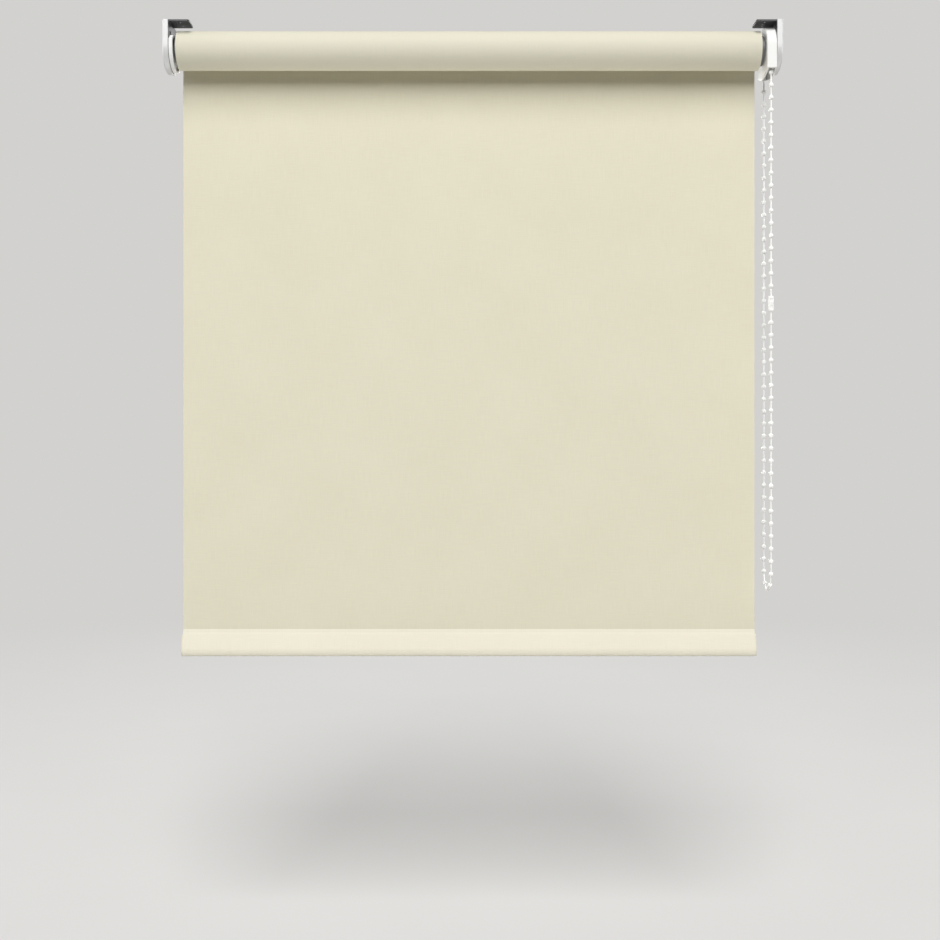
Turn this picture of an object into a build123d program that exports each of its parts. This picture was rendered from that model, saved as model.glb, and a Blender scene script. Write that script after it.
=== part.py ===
from build123d import *
import os
from math import cos, pi, radians, sin, tan

# A chain-operated roller blind, in millimetres. X runs along the roller, -Y faces the room and +Z is up.
# The origin is the middle of the four ceiling screw holes, on the top face of the bracket flanges.

# Cloth: wound on the roller, hanging from the back of the roll, with a bar in its hem
cloth_width = 560.1
cloth_thickness = 0.42
cloth_turns = 11
drop_length = 560.7
drop_gap = 0.3
seam_height = 6.0
hem_nose_radius = 4.5
hem_nose_turn = 65.0
hem_side_radius = 8.5
hem_taper = 12.9

# Turn lines on the two ends of the wound cloth. They show on its outer turns, and the inner ones lie tight.
turn_line_count = 5
turn_line_width = 0.14
turn_line_depth = 0.5

# Tube
tube_diameter = 28.0
tube_wall = 1.1
tube_overhang = 0.3
key_width = 2.0
key_height = 1.3
key_root = 0.55

# Brackets: a side plate with a ceiling flange
axis_drop = 24.0
plate_half_width = 20.9
plate_thickness = 1.5
flange_length = 19.2
flange_depth = 22.0
flange_corner = 2.0
bend_radius = 1.0
screw_hole_radius = 2.2
ceiling_hole_spacing = 12.0
ceiling_hole_inset = 10.4
side_hole_spacing = 26.0
side_hole_drop = 11.0
hook_slot_width = 12.0
hook_slot_height = 10.0
hook_slot_low = 7.0

# Covers
cover_wall = 1.5
cover_fit = 0.1
cover_rise = 4.4
cover_edge_bevel = 1.3
cover_rim_back = 0.3
cover_ledge = 0.8
cover_top_gap = 0.2

# Hooked tenons that hold the clutch and the cradle in the plates
hook_side_gap = 0.2
hook_reach = 1.6
hook_drop = 2.4

# Clutch
guard_radius = 21.5
guard_width = 9.0
guard_wall = 1.5
guard_front_drop = 21.7
guard_side_drop = 26.3
guard_edge_bevel = 0.7
base_plate = 1.2
post_radius = 6.0
post_tip = 1.0
clip_groove_depth = 1.0
clip_thickness = 1.0
clip_radius = 8.2
clip_mouth = 7.0
clip_play = 0.05
running_gap = 0.06
part_gap = 0.3

# Sprocket and chain
bead_pitch = 12.0
bead_radius = 2.25
bead_height = 4.2
bead_taper = 26.0
bead_sides = 8
pocket_count = 8
pocket_gap = 0.3
strand_beads = 42
cord_diameter = 1.5
cord_sides = 8
cord_groove_gap = 0.4
sprocket_rim_over_pitch = 1.5
hub_radius = 8.8
hub_reach = 8.0
hub_window_gap = 0.5
dog_width = 2.6
dog_height = 1.1
dog_root = 0.5
dog_gap = 0.15
dog_slot_length = 5.0
connector_bead = 20
connector_radius = 2.6
connector_length = 14.6
connector_waist = 0.35

# Plugs in the two ends of the tube
crown_collar = 3.0
crown_length = 38.0
crown_end_wall = 5.0
crown_bore_gap = 0.1
plug_core_radius = 10.9
plug_fit = 0.08
plug_rib_count = 8
plug_rib_width = 2.2
idle_collar = 1.7
idle_length = 32.0
key_gap = 0.15
key_rail = 1.6

# Wrap spring on the post
brake_wire = 1.2
brake_turns = 5
brake_pitch = 1.9
brake_place = 14.0
coil_corners = 12
wire_sides = 6

# Idle pin, its cradle and its spring
cradle_thickness = 3.5
cradle_floor = 2.0
cradle_radius = 20.6
cradle_rim = 2.0
cradle_arm_low = 6.0
cradle_arm_high = 11.0
cradle_arm_slope = 6.0
cradle_boss_wall = 2.4
tenon_slot_wall = 0.5
pin_radius = 3.0
pin_gap = 0.1
pin_tip_gap = 0.25
pin_tip_bevel = 0.8
pin_head_radius = 4.5
pin_head_length = 2.0
pin_front_wall = 5.0
spring_chamber_length = 20.0
pin_spring_wire = 0.7
pin_spring_turns = 6
pin_spring_side_gap = 0.25

# Hem bar and its caps
hem_bar_gap = 0.1
hem_bar_wall = 0.9
hem_cap_thickness = 1.2
hem_cap_inset = 0.15
hem_cap_plug_length = 9.0
hem_cap_plug_gap = 0.1

# Places that follow from the sizes above
tube_radius = tube_diameter / 2
tube_bore = tube_radius - tube_wall
tube_length = cloth_width + 2 * tube_overhang
roll_radius = tube_radius + cloth_turns * cloth_thickness
plate_gap = (
    tube_length + idle_collar + part_gap + cradle_thickness + crown_collar + 2 * part_gap + guard_width
)
axis_y = plate_half_width - flange_depth / 2
axis_z = -axis_drop
plate_right = plate_gap / 2
plate_left = -plate_gap / 2
tube_left = plate_left + cradle_thickness + part_gap + idle_collar
tube_right = tube_left + tube_length
cloth_left = tube_left + tube_overhang
cloth_right = cloth_left + cloth_width
guard_left = plate_right - guard_width
sprocket_left = guard_left + guard_wall + part_gap
sprocket_right = plate_right - base_plate - part_gap
chain_x = (sprocket_left + sprocket_right) / 2
chain_radius = bead_pitch / (2 * sin(pi / pocket_count))
strand_length = strand_beads * bead_pitch
crown_left = tube_right - crown_length
post_end = crown_left - part_gap - clip_thickness - post_tip
drop_inner = roll_radius - cloth_thickness + drop_gap
sheet_y = axis_y + drop_inner + cloth_thickness / 2
hem_top = axis_z - drop_length
taper_turn = 90 + hem_taper - hem_nose_turn

# The roller's axis, and a plane whose X runs along it and whose Y points up
roller_axis = Axis((0, axis_y, axis_z), (1, 0, 0))
axle_plane = Plane(origin=(0, axis_y, axis_z), x_dir=(1, 0, 0), z_dir=(0, -1, 0))


def across(x):
    """Plane square to the roller at x, centred on its axis: local X points back, local Y up."""
    return Plane(origin=(x, axis_y, axis_z), x_dir=(0, 1, 0), z_dir=(1, 0, 0))


def hooked_tenon(x, away, height):
    """A block through the plate's slot, resting on the slot's floor, with a lip that hooks down outside."""
    with BuildSketch(across(x)) as block:
        with Locations((0, height / 2 - hook_slot_low)):
            Rectangle(hook_slot_width - 2 * hook_side_gap, height)
    extrude(block.sketch, amount=away * (plate_thickness + hook_reach))
    with BuildSketch(across(x + away * plate_thickness)) as lip:
        with Locations((0, (height - hook_drop) / 2 - hook_slot_low)):
            Rectangle(hook_slot_width - 2 * hook_side_gap, height + hook_drop)
    extrude(lip.sketch, amount=away * hook_reach)


def u_outline(half_width, rise):
    """Draws a plate's edge: straight sides up to rise, and a round bottom about the roller's axis."""
    Polyline((-half_width, 0), (-half_width, rise), (half_width, rise), (half_width, 0))
    ThreePointArc((-half_width, 0), (0, -half_width), (half_width, 0))


# Brackets

with BuildPart() as bracket_right:
    with BuildSketch(across(plate_right)):
        with BuildLine():
            u_outline(plate_half_width, axis_drop)
        make_face()
    extrude(amount=plate_thickness)
    flange_middle_x = plate_right + (plate_thickness - flange_length) / 2
    with BuildSketch(Plane.XY.offset(-plate_thickness)):
        with Locations((flange_middle_x, 0)):
            Rectangle(flange_length + plate_thickness, flange_depth)
    extrude(amount=plate_thickness)
    flange_corners = bracket_right.edges().filter_by(Axis.Z).group_by(Axis.X)[0]
    fillet(flange_corners, flange_corner)
    outer_bend = bracket_right.edges().filter_by(Axis.Y).group_by(Axis.Z)[-1].sort_by(Axis.X)[-1]
    fillet(outer_bend, bend_radius)
    with BuildSketch(Plane.XY):
        with Locations((plate_right - ceiling_hole_inset, 0)):
            with GridLocations(1, ceiling_hole_spacing, 1, 2):
                Circle(screw_hole_radius)
    extrude(amount=-plate_thickness, mode=Mode.SUBTRACT)
    with BuildSketch(across(plate_right)):
        with Locations((0, axis_drop - side_hole_drop)):
            with GridLocations(side_hole_spacing, 1, 2, 1):
                Circle(screw_hole_radius)
        with Locations((0, hook_slot_height / 2 - hook_slot_low)):
            Rectangle(hook_slot_width, hook_slot_height)
    extrude(amount=plate_thickness, mode=Mode.SUBTRACT)

with BuildPart() as bracket_left:
    mirror(bracket_right.part, about=Plane.YZ)

# Covers, open towards the roller, with a ledge that lies on the plate

cover_half_width = plate_half_width + cover_fit + cover_wall
cover_outside = plate_right + plate_thickness + cover_rise
with BuildPart() as bracket_cover_right:
    with BuildSketch(across(plate_right + cover_rim_back)):
        with BuildLine():
            u_outline(cover_half_width, axis_drop - cover_top_gap)
        make_face()
    extrude(amount=cover_outside - plate_right - cover_rim_back)
    outside_face = bracket_cover_right.faces().sort_by(Axis.X)[-1]
    rounded = outside_face.edges().sort_by(Axis.Z)[:-1]
    chamfer(rounded, cover_edge_bevel)
    with BuildSketch(across(plate_right)):
        with BuildLine():
            u_outline(plate_half_width + cover_fit, axis_drop)
        make_face()
    extrude(amount=plate_thickness, mode=Mode.SUBTRACT)
    with BuildSketch(across(plate_right + plate_thickness)):
        with BuildLine():
            u_outline(plate_half_width - cover_ledge, axis_drop - cover_top_gap - cover_wall)
        make_face()
    extrude(amount=cover_rise - cover_wall, mode=Mode.SUBTRACT)

with BuildPart() as bracket_cover_left:
    mirror(bracket_cover_right.part, about=Plane.YZ)

# Idle cradle: a U-shaped insert with a raised rim, hooked into the left plate

cradle_slot = pin_radius + pin_gap
with BuildPart() as idle_cradle:
    with BuildSketch(across(plate_left)) as cradle_face:
        with BuildLine():
            arm_shoulder = cradle_radius - cradle_arm_slope
            Polyline(
                (-cradle_radius, 0),
                (-cradle_radius, cradle_arm_low),
                (-arm_shoulder, cradle_arm_high),
                (arm_shoulder, cradle_arm_high),
                (cradle_radius, cradle_arm_low),
                (cradle_radius, 0),
            )
            ThreePointArc((-cradle_radius, 0), (0, -cradle_radius), (cradle_radius, 0))
        make_face()
    extrude(amount=cradle_thickness)
    with BuildSketch(across(plate_left + cradle_floor)):
        add(offset(cradle_face.sketch_local, amount=-cradle_rim, mode=Mode.PRIVATE))
        Circle(cradle_slot + cradle_boss_wall, mode=Mode.SUBTRACT)
        with Locations((0, cradle_arm_high / 2)):
            Rectangle(2 * (cradle_slot + cradle_boss_wall), cradle_arm_high, mode=Mode.SUBTRACT)
    extrude(amount=cradle_thickness - cradle_floor, mode=Mode.SUBTRACT)
    with BuildSketch(across(plate_left)):
        Circle(cradle_slot)
        with Locations((0, cradle_arm_high)):
            Rectangle(2 * cradle_slot, 2 * cradle_arm_high)
    extrude(amount=cradle_thickness, mode=Mode.SUBTRACT)
    hooked_tenon(plate_left, -1, hook_slot_low - cradle_slot - tenon_slot_wall)

# Clutch: base with its post, guard, sprocket, brake spring, crown and clip


def guard_outline(half_width, low):
    """Draws the housing's edge: round on top, straight at front and back, and a round belly down to low."""
    ThreePointArc((-half_width, 0), (0, half_width), (half_width, 0))
    Line((half_width, 0), (half_width, -guard_front_drop))
    ThreePointArc((half_width, -guard_front_drop), (0, -low), (-half_width, -guard_front_drop))
    Line((-half_width, -guard_front_drop), (-half_width, 0))


base_half_width = guard_radius - guard_wall - cover_fit
with BuildPart() as clutch_base:
    with BuildSketch(across(plate_right - base_plate)):
        with BuildLine():
            guard_outline(base_half_width, guard_side_drop)
        make_face()
    extrude(amount=base_plate)
    with BuildSketch(across(post_end)):
        Circle(post_radius)
    extrude(amount=plate_right - post_end)
    post_rim = clutch_base.faces().sort_by(Axis.X)[0].edges()
    chamfer(post_rim, post_tip / 2)
    with BuildSketch(across(post_end + post_tip)):
        Circle(post_radius)
        Circle(post_radius - clip_groove_depth, mode=Mode.SUBTRACT)
    extrude(amount=clip_thickness, mode=Mode.SUBTRACT)
    hooked_tenon(plate_right, 1, hook_slot_height - hook_drop - hook_side_gap)

with BuildPart() as chain_guard:
    with BuildSketch(across(guard_left)):
        with BuildLine():
            guard_outline(guard_radius, guard_side_drop)
        make_face()
    extrude(amount=guard_width)
    roller_side = chain_guard.faces().sort_by(Axis.X)[0]
    chamfer(roller_side.edges(), guard_edge_bevel)
    guard_inside = guard_radius - guard_wall
    with BuildSketch(across(guard_left + guard_wall)):
        Circle(guard_inside)
        with Locations((0, -guard_side_drop)):
            Rectangle(2 * guard_inside, 2 * guard_side_drop)
    extrude(amount=guard_width - guard_wall, mode=Mode.SUBTRACT)
    with BuildSketch(across(guard_left)):
        Circle(hub_radius + hub_window_gap)
    extrude(amount=guard_wall, mode=Mode.SUBTRACT)

rim_radius = chain_radius + sprocket_rim_over_pitch
groove_radius = chain_radius - cord_diameter / 2 - cord_groove_gap
groove_half = cord_diameter / 2 + cord_groove_gap
bore_radius = post_radius + running_gap
with BuildPart() as chain_sprocket:
    with BuildSketch(axle_plane):
        with BuildLine():
            Polyline(
                (sprocket_left - hub_reach, bore_radius),
                (sprocket_left - hub_reach, hub_radius),
                (sprocket_left, hub_radius),
                (sprocket_left, rim_radius),
                (chain_x - groove_half, rim_radius),
                (chain_x - groove_half, groove_radius),
                (chain_x + groove_half, groove_radius),
                (chain_x + groove_half, rim_radius),
                (sprocket_right, rim_radius),
                (sprocket_right, bore_radius),
                close=True,
            )
        make_face()
    revolve(axis=roller_axis)
    pocket_radius = bead_radius + pocket_gap
    with BuildSketch(across(chain_x)):
        with PolarLocations(chain_radius, pocket_count):
            RegularPolygon(pocket_radius, bead_sides, major_radius=False)
    extrude(amount=pocket_radius, both=True, mode=Mode.SUBTRACT)
    with BuildSketch(across(sprocket_left - hub_reach)):
        with Locations((0, hub_radius)):
            Rectangle(dog_width + 2 * dog_gap, 2 * (hub_radius - post_radius))
    extrude(amount=dog_slot_length, mode=Mode.SUBTRACT)


def coil_points(start, length, turns, radius):
    """Corners of a coil about the roller's axis, from start along X."""
    steps = turns * coil_corners
    for step in range(steps + 1):
        angle = 2 * pi * step / coil_corners
        x = start + length * step / steps
        yield (x, axis_y + radius * cos(angle), axis_z + radius * sin(angle))


inner_turn = bore_radius / cos(pi / coil_corners)
with BuildPart() as clutch_spring:
    brake_start = sprocket_left - hub_reach - brake_place
    brake_length = brake_pitch * brake_turns
    with BuildLine():
        brake_line = Polyline(*coil_points(brake_start, brake_length, brake_turns, inner_turn + brake_wire / 2))
    with BuildSketch(Plane(origin=brake_line @ 0, x_dir=(1, 0, 0), z_dir=brake_line % 0)):
        RegularPolygon(brake_wire / 2, wire_sides)
    sweep(transition=Transition.RIGHT)


def plug_section():
    """Draws a plug that fits the tube: a core with ribs, and a slotted rail for the tube's key."""
    Circle(plug_core_radius)
    with PolarLocations(0, plug_rib_count // 2, start_angle=180 / plug_rib_count, angular_range=180):
        Rectangle(tube_diameter, plug_rib_width)
    with Locations((0, tube_radius / 2)):
        Rectangle(key_width + 2 * key_gap + 2 * key_rail, tube_radius)
    Circle(tube_bore - plug_fit, mode=Mode.INTERSECT)
    with Locations((0, tube_bore - (key_height + key_gap) / 2)):
        Rectangle(key_width + 2 * key_gap, key_height + key_gap, mode=Mode.SUBTRACT)


with BuildPart() as tube_crown:
    with BuildSketch(across(tube_right)):
        plug_section()
    extrude(amount=-crown_length)
    with BuildSketch(across(tube_right)):
        Circle(tube_radius)
    extrude(amount=crown_collar)
    crown_bore = hub_radius + crown_bore_gap
    with BuildSketch(across(crown_left + crown_end_wall)):
        Circle(crown_bore)
    extrude(amount=crown_length, mode=Mode.SUBTRACT)
    with BuildSketch(across(crown_left + crown_end_wall)):
        with Locations((0, crown_bore + (dog_root - dog_height) / 2)):
            Rectangle(dog_width, dog_root + dog_height)
    dog_end = sprocket_left - hub_reach + dog_slot_length - part_gap
    extrude(amount=dog_end - crown_left - crown_end_wall)
    with BuildSketch(across(crown_left)):
        Circle(bore_radius)
    extrude(amount=crown_end_wall, mode=Mode.SUBTRACT)

with BuildPart() as post_clip:
    with BuildSketch(across(post_end + post_tip + clip_play)):
        Circle(clip_radius)
        Circle(post_radius - clip_groove_depth + clip_play, mode=Mode.SUBTRACT)
        with Locations((0, -clip_radius)):
            Rectangle(clip_mouth, 2 * clip_radius, mode=Mode.SUBTRACT)
    extrude(amount=clip_thickness - 2 * clip_play)

# Tube with its inner key, and the two pieces in its left end

with BuildPart() as roller_tube:
    with BuildSketch(across(tube_left)):
        Circle(tube_radius)
        Circle(tube_bore, mode=Mode.SUBTRACT)
        with Locations((0, tube_bore + (key_root - key_height) / 2)):
            Rectangle(key_width, key_root + key_height)
    extrude(amount=tube_length)

chamber_left = tube_left - idle_collar + pin_front_wall
chamber_right = chamber_left + spring_chamber_length
chamber_radius = pin_head_radius + pin_gap
with BuildPart() as idle_plug:
    with BuildSketch(across(tube_left)):
        plug_section()
    extrude(amount=idle_length)
    with BuildSketch(across(tube_left)):
        Circle(tube_radius)
    extrude(amount=-idle_collar)
    with BuildSketch(across(chamber_left)):
        Circle(chamber_radius)
    extrude(amount=spring_chamber_length, mode=Mode.SUBTRACT)
    with BuildSketch(across(tube_left - idle_collar)):
        Circle(pin_radius + running_gap)
    extrude(amount=pin_front_wall, mode=Mode.SUBTRACT)

head_left = chamber_left + pin_gap
head_right = head_left + pin_head_length
with BuildPart() as idle_pin:
    with BuildSketch(across(plate_left + pin_tip_gap)):
        Circle(pin_radius)
    extrude(amount=head_left - plate_left - pin_tip_gap)
    tip = idle_pin.faces().sort_by(Axis.X)[0].edges()
    chamfer(tip, pin_tip_bevel)
    with BuildSketch(across(head_left)):
        Circle(pin_head_radius)
    extrude(amount=pin_head_length)

with BuildPart() as idle_pin_spring:
    coil_length = chamber_right - head_right - pin_spring_wire - 2 * running_gap
    coil_start = head_right + running_gap + pin_spring_wire / 2
    coil_radius = chamber_radius - pin_spring_side_gap - pin_spring_wire / 2
    with BuildLine():
        coil_line = Polyline(*coil_points(coil_start, coil_length, pin_spring_turns, coil_radius))
    with BuildSketch(Plane(origin=coil_line @ 0, x_dir=(1, 0, 0), z_dir=coil_line % 0)):
        RegularPolygon(pin_spring_wire / 2, wire_sides)
    sweep(transition=Transition.RIGHT)

# Cloth on the roller. Its edge is a spiral of half circles, each a half turn's thickness smaller than the last.


def spiral_radius(half_turn):
    """Radius of a half turn, counted inwards from the outermost one."""
    return roll_radius - cloth_thickness * (1 + 2 * half_turn) / 4


def spiral(shift, first, last):
    """Draws half turns first to last of the cloth's edge, shifted outwards, from the back over the top."""
    for half_turn in range(first, last):
        over_top = half_turn % 2 == 0
        side = 1 if over_top else -1
        middle = side * cloth_thickness / 4
        radius = spiral_radius(half_turn) + shift
        start = (middle + side * radius, 0)
        end = (middle - side * radius, 0)
        ThreePointArc(start, (middle, side * radius), end)


last_half_turn = 2 + 2 * turn_line_count
line_half = turn_line_width / 2
line_ends = (roll_radius - cloth_thickness, spiral_radius(last_half_turn) + cloth_thickness / 4)
with BuildPart() as fabric_roll:
    with BuildSketch(across(cloth_left)):
        with BuildLine():
            spiral(0, 0, 2)
            Line((roll_radius - cloth_thickness, 0), (roll_radius, 0))
        make_face()
        Circle(tube_radius, mode=Mode.SUBTRACT)
    extrude(amount=cloth_width)
    for x, inwards in ((cloth_left, 1), (cloth_right, -1)):
        with BuildSketch(across(x)):
            with BuildLine():
                spiral(line_half, 2, last_half_turn)
                spiral(-line_half, 2, last_half_turn)
                for radius in line_ends:
                    Line((radius - line_half, 0), (radius + line_half, 0))
            make_face()
        extrude(amount=inwards * turn_line_depth, mode=Mode.SUBTRACT)

# Hanging cloth, hem and bar

with BuildPart() as fabric_drop:
    with BuildSketch(across(cloth_left)):
        with BuildLine():
            Polyline(
                (drop_inner, -drop_gap),
                (drop_inner + cloth_thickness, -drop_gap),
                (drop_inner + cloth_thickness, -drop_length),
                (drop_inner, -drop_length),
                close=True,
            )
        make_face()
    extrude(amount=cloth_width)


def half_hem_width(height, inset):
    """Half the thickness of the hem at a height over its nose, on its straight flank."""
    flank = cloth_thickness + (hem_height - height) * tan(radians(hem_taper))
    return flank - inset / cos(radians(hem_taper))


def hem_outline(inset, top):
    """Draws the hem's drop shape, inset from the cloth's face and cut off level at a height over its nose."""
    for side in (1, -1):
        nose = JernArc((0, inset), (side, 0), hem_nose_radius - inset, side * hem_nose_turn)
        flank = JernArc(nose @ 1, nose % 1, hem_side_radius - inset, side * taper_turn)
        Line(flank @ 1, (side * half_hem_width(top, inset), top))
    Line((half_hem_width(top, inset), top), (-half_hem_width(top, inset), top))


nose_angle = radians(hem_nose_turn)
flank_angle = radians(90 + hem_taper)
belly_height = hem_nose_radius * (1 - cos(nose_angle)) + hem_side_radius * (cos(nose_angle) - cos(flank_angle))
belly_half = hem_nose_radius * sin(nose_angle) + hem_side_radius * (sin(flank_angle) - sin(nose_angle))
hem_height = belly_height + (belly_half - cloth_thickness) / tan(radians(hem_taper))
hem_bottom = hem_top - hem_height
bar_top = hem_height - seam_height


def hem_plane(x):
    """Plane square to the roller at x, with its origin at the hem's nose."""
    return Plane(origin=(x, sheet_y, hem_bottom), x_dir=(0, 1, 0), z_dir=(1, 0, 0))


with BuildPart() as fabric_hem:
    with BuildSketch(hem_plane(cloth_left)):
        with BuildLine():
            hem_outline(0, hem_height)
        make_face()
        with BuildLine():
            hem_outline(cloth_thickness, bar_top)
        make_face(mode=Mode.SUBTRACT)
    extrude(amount=cloth_width)

bar_inset = cloth_thickness + hem_bar_gap
hollow_inset = bar_inset + hem_bar_wall
with BuildPart() as hem_bar:
    with BuildSketch(hem_plane(cloth_left)):
        with BuildLine():
            hem_outline(bar_inset, bar_top - hem_bar_gap)
        make_face()
        with BuildLine():
            hem_outline(hollow_inset, bar_top - hem_bar_gap - hem_bar_wall)
        make_face(mode=Mode.SUBTRACT)
    extrude(amount=cloth_width)

with BuildPart() as hem_cap_left:
    with BuildSketch(hem_plane(cloth_left)):
        with BuildLine():
            hem_outline(hem_cap_inset, bar_top)
        make_face()
    extrude(amount=-hem_cap_thickness)
    with BuildSketch(hem_plane(cloth_left)):
        with BuildLine():
            hem_outline(hollow_inset + hem_cap_plug_gap, bar_top - hem_bar_gap - hem_bar_wall - hem_cap_plug_gap)
        make_face()
    extrude(amount=hem_cap_plug_length)

with BuildPart() as hem_cap_right:
    cloth_middle = Plane.YZ.offset((cloth_left + cloth_right) / 2)
    mirror(hem_cap_left.part, about=cloth_middle)

# Bead chain: a closed loop over the sprocket. The connector takes the place of two beads on its front strand.

connector_z = -(connector_bead + 0.5) * bead_pitch
cord_top_z = connector_z + connector_length / 2
cord_bottom_z = connector_z - connector_length / 2

# The cord's route about the roller's axis, as (back, up): down the front strand from the connector, round the
# bottom, up the back strand and over the sprocket. Each turn of 45 degrees is as round as its runs allow.
corner = chain_radius * tan(radians(22.5))
loop_bottom = -strand_length - chain_radius
cord_route = [
    (-chain_radius, cord_bottom_z),
    (-chain_radius, -strand_length - corner),
    (-corner, loop_bottom),
    (corner, loop_bottom),
    (chain_radius, -strand_length - corner),
    (chain_radius, corner),
    (corner, chain_radius),
    (-corner, chain_radius),
    (-chain_radius, corner),
    (-chain_radius, cord_top_z),
]
cord_radius = 0.9 * chain_radius
with BuildPart() as chain_cord:
    with BuildLine(across(chain_x)) as cord_path:
        FilletPolyline(*cord_route, radius=cord_radius)
    with BuildSketch(Plane(origin=cord_path.line @ 0, x_dir=(1, 0, 0), z_dir=cord_path.line % 0)):
        RegularPolygon(cord_diameter / 2, cord_sides)
    sweep()

# Each bead's place and turn: over the sprocket, round the bottom of the loop and down the two strands
bead_places = []
for bead in range(pocket_count):
    turn = 360 * bead / pocket_count
    low = 0 if turn <= 180 else strand_length
    back, up = chain_radius * cos(radians(turn)), chain_radius * sin(radians(turn)) - low
    bead_places.append(Pos(back, up) * Rot(90, 0, turn))
for bead in range(1, strand_beads + 1):
    bead_places.append(Pos(chain_radius, -bead * bead_pitch) * Rot(90, 0, 0))
    if bead not in (connector_bead, connector_bead + 1):
        bead_places.append(Pos(-chain_radius, -bead * bead_pitch) * Rot(90, 0, 0))

with BuildPart() as bead_form:
    with BuildSketch(Plane.XY):
        RegularPolygon(bead_radius, bead_sides)
    extrude(amount=bead_height / 2, taper=bead_taper)
    mirror(about=Plane.XY)

with BuildPart() as chain_beads:
    with Locations(*[across(chain_x) * place for place in bead_places]):
        add(bead_form.part)

with BuildPart() as chain_connector:
    strand_axis = Axis((chain_x, axis_y - chain_radius, 0), (0, 0, 1))
    strand_plane = Plane(
        origin=(chain_x, axis_y - chain_radius, axis_z + connector_z), x_dir=(1, 0, 0), z_dir=(0, -1, 0)
    )
    half = connector_length / 2
    with BuildSketch(strand_plane):
        with BuildLine():
            Polyline((0, -half), (connector_radius / 2, -half), (connector_radius, -half + connector_radius / 2))
            Polyline(
                (connector_radius, -half + connector_radius / 2),
                (connector_radius, -connector_waist),
                (connector_radius - connector_waist, -connector_waist),
                (connector_radius - connector_waist, connector_waist),
                (connector_radius, connector_waist),
                (connector_radius, half - connector_radius / 2),
            )
            Polyline((connector_radius, half - connector_radius / 2), (connector_radius / 2, half), (0, half))
            Line((0, half), (0, -half))
        make_face()
    revolve(axis=strand_axis)

# Labels and files, one for each sub-part

subparts = {
    "bracket_left": bracket_left,
    "bracket_right": bracket_right,
    "bracket_cover_left": bracket_cover_left,
    "bracket_cover_right": bracket_cover_right,
    "idle_cradle": idle_cradle,
    "clutch_base": clutch_base,
    "chain_guard": chain_guard,
    "chain_sprocket": chain_sprocket,
    "clutch_spring": clutch_spring,
    "tube_crown": tube_crown,
    "post_clip": post_clip,
    "roller_tube": roller_tube,
    "fabric_roll": fabric_roll,
    "fabric_drop": fabric_drop,
    "fabric_hem": fabric_hem,
    "hem_bar": hem_bar,
    "hem_cap_left": hem_cap_left,
    "hem_cap_right": hem_cap_right,
    "idle_plug": idle_plug,
    "idle_pin": idle_pin,
    "idle_pin_spring": idle_pin_spring,
    "chain_cord": chain_cord,
    "chain_beads": chain_beads,
    "chain_connector": chain_connector,
}
os.makedirs("parts", exist_ok=True)
for name, subpart in subparts.items():
    subpart.part.label = name
    export_step(subpart.part, f"parts/{name}.step")

cord_length = sum(edge.length for edge in cord_path.edges())
cord_volume = cord_sides * sin(2 * pi / cord_sides) * cord_diameter**2 / 8 * cord_length
print(f"cord radius at each turn {cord_radius:.2f} mm, length {cord_length:.1f} mm")
print(f"cord volume {chain_cord.part.volume:.1f} mm3, section times length {cord_volume:.1f} mm3")
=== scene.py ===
from math import cos, pi, radians, sin, tan

import bpy
import numpy as np
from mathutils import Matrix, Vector
from mathutils.geometry import tessellate_polygon
from mathutils.noise import noise


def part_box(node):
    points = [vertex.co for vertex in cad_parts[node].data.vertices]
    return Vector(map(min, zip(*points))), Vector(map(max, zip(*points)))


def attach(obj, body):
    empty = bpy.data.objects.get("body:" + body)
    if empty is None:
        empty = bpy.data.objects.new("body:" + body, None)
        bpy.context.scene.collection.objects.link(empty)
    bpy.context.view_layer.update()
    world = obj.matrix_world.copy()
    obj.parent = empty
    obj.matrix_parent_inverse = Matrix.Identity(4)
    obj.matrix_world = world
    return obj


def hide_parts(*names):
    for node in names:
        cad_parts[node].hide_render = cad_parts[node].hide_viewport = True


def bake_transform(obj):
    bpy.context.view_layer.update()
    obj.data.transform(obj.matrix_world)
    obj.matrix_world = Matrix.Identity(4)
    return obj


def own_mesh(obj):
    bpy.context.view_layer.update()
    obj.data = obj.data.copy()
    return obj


# A ceiling-fixed roller blind in cream blackout cloth, in metres. X runs along the roller, -Y is the room

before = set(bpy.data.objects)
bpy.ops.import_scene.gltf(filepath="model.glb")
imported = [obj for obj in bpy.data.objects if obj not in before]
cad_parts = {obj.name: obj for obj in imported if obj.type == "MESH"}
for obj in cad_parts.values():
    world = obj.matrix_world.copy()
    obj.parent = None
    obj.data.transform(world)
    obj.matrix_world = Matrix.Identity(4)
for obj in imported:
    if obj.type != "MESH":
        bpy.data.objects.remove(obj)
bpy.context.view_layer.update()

MM = 0.001

# Camera, level with the middle of the window and looking straight at it
CAMERA_PLACE = (-0.0025, -1.2901, -0.4288)
CAMERA_LENS = 51.5

# Cloth
CLOTH_THICKNESS = 0.42 * MM
CLOTH_TURNS = 11
THREAD_PITCH = 0.46 * MM
SHEET_COLUMNS = 56
SHEET_ROWS = 70

# Hem: a drop-shaped pocket with the bar inside and a welded seam at its top
HEM_NOSE_RADIUS = 4.5 * MM
HEM_NOSE_TURN = radians(65.0)
HEM_SIDE_RADIUS = 8.5 * MM
HEM_TAPER = radians(12.9)
HEM_SEAM = 6.0 * MM
HEM_COLUMNS = 48

# Chain
CORD_DIAMETER = 1.5 * MM
BEAD_PITCH = 12.0 * MM
BEAD_RADIUS = 2.25 * MM
BEAD_HALF_HEIGHT = 2.1 * MM
BEAD_COUNT = 90
FIRST_BEAD = 10.7 * MM

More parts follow.
